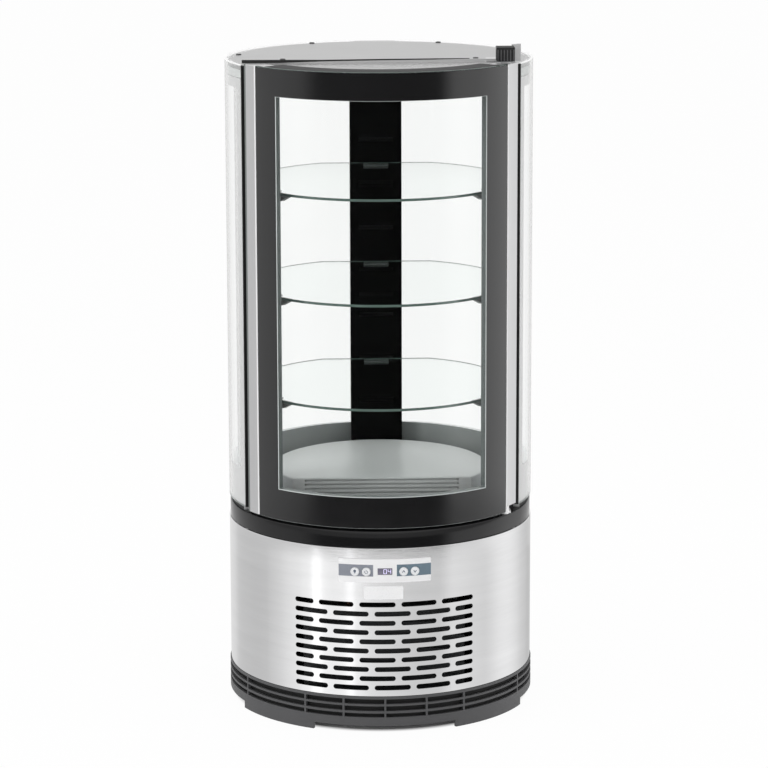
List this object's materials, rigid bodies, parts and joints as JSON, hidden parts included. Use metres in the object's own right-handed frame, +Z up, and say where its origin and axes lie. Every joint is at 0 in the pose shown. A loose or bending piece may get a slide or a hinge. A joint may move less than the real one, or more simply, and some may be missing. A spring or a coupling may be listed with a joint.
{
  "type": "cake display case",
  "caption": "Round countertop cake display case with a curved glass door, glass shelves and a slotted steel base that holds the cooling unit.",
  "frame": {"origin": "middle of the footprint, on the surface that the case stands on", "axes": "+Z up, -Y towards the person at the door, +X towards the hinge side"},
  "size_m": [0.483, 0.4832, 1.053],
  "materials": {
    "skirt_grey": "moulded, mid grey",
    "painted_grey": "powder coat, grey",
    "brushed_steel": "brushed, grain running round the case",
    "satin_aluminium": "satin anodised",
    "black_gloss": "polished black",
    "black_plastic": "moulded, black",
    "black_rubber": "soft, matt",
    "clear_glass": "clear float glass, faint green edge",
    "deck_white": "smooth, off white",
    "copper": "drawn copper tube",
    "led_white": "opal diffuser"
  },
  "bodies": {
    "cabinet": {"base_skirt": "skirt_grey", "base_plate": "painted_grey", "fan_shroud": "painted_grey", "inner_collar": "painted_grey", "left_clip_1": "painted_grey", "left_clip_2": "painted_grey", "left_clip_3": "painted_grey", "right_clip_1": "painted_grey", "right_clip_2": "painted_grey", "right_clip_3": "painted_grey", "rear_bracket_1": "painted_grey", "rear_bracket_2": "painted_grey", "rear_bracket_3": "painted_grey", "body_panel": "brushed_steel", "fan_motor": "brushed_steel", "deck_pan": "brushed_steel", "bottom_hinge_bracket": "brushed_steel", "top_hinge_bracket": "brushed_steel", "control_bezel": "satin_aluminium", "condenser_coil": "satin_aluminium", "evaporator_coil": "satin_aluminium", "top_cover": "satin_aluminium", "deck_band": "black_gloss", "display_lens": "black_gloss", "power_inlet": "black_plastic", "controller_box": "black_plastic", "compressor": "black_plastic", "drain_tray": "black_plastic", "evaporator_fan_motor": "black_plastic", "right_post": "black_plastic", "left_post": "black_plastic", "top_header": "black_plastic", "bottom_sill": "black_plastic", "rear_spine": "black_plastic", "duct_cover": "black_plastic", "top_hinge_cap": "black_plastic", "right_side_glass": "clear_glass", "left_side_glass": "clear_glass", "shelf_1": "clear_glass", "shelf_2": "clear_glass", "shelf_3": "clear_glass", "insulated_deck": "deck_white", "ceiling_panel": "deck_white", "refrigerant_line": "copper", "right_led_bar": "led_white", "left_led_bar": "led_white"},
    "door": {"door_outer_pane": "clear_glass", "door_inner_pane": "clear_glass", "door_spacer": "painted_grey", "door_top_rail": "black_plastic", "door_bottom_rail": "black_plastic", "door_hinge_stile": "satin_aluminium", "door_handle_stile": "satin_aluminium", "door_gasket": "black_rubber"},
    "lamp_button": {"lamp_button": "black_plastic"},
    "power_button": {"power_button": "black_plastic"},
    "up_button": {"up_button": "black_plastic"},
    "down_button": {"down_button": "black_plastic"},
    "condenser_fan": {"condenser_fan": "black_plastic"},
    "evaporator_fan": {"evaporator_fan": "black_plastic"}
  },
  "joints": [
    {"name": "door_hinge", "type": "hinge", "parent": "cabinet", "child": "door", "pos_m": [0.19, -0.133, 0.3246], "axis": [0, 0, 1], "range_deg": [0, 110]},
    {"name": "lamp_button_press", "type": "slide", "parent": "cabinet", "child": "lamp_button", "axis": [0.1908, 0.9816, 0], "range_m": [0, 0.0008], "stiffness_N_per_m": 400},
    {"name": "power_button_press", "type": "slide", "parent": "cabinet", "child": "power_button", "axis": [0.1184, 0.993, 0], "range_m": [0, 0.0008], "stiffness_N_per_m": 400},
    {"name": "up_button_press", "type": "slide", "parent": "cabinet", "child": "up_button", "axis": [-0.1184, 0.993, 0], "range_m": [0, 0.0008], "stiffness_N_per_m": 400},
    {"name": "down_button_press", "type": "slide", "parent": "cabinet", "child": "down_button", "axis": [-0.1908, 0.9816, 0], "range_m": [0, 0.0008], "stiffness_N_per_m": 400},
    {"name": "condenser_fan_spin", "type": "hinge", "parent": "cabinet", "child": "condenser_fan", "pos_m": [0, -0.1387, 0.1], "axis": [0, 1, 0], "continuous": true},
    {"name": "evaporator_fan_spin", "type": "hinge", "parent": "cabinet", "child": "evaporator_fan", "pos_m": [0, -0.03, 0.276], "axis": [0, 1, 0], "continuous": true}
  ]
}
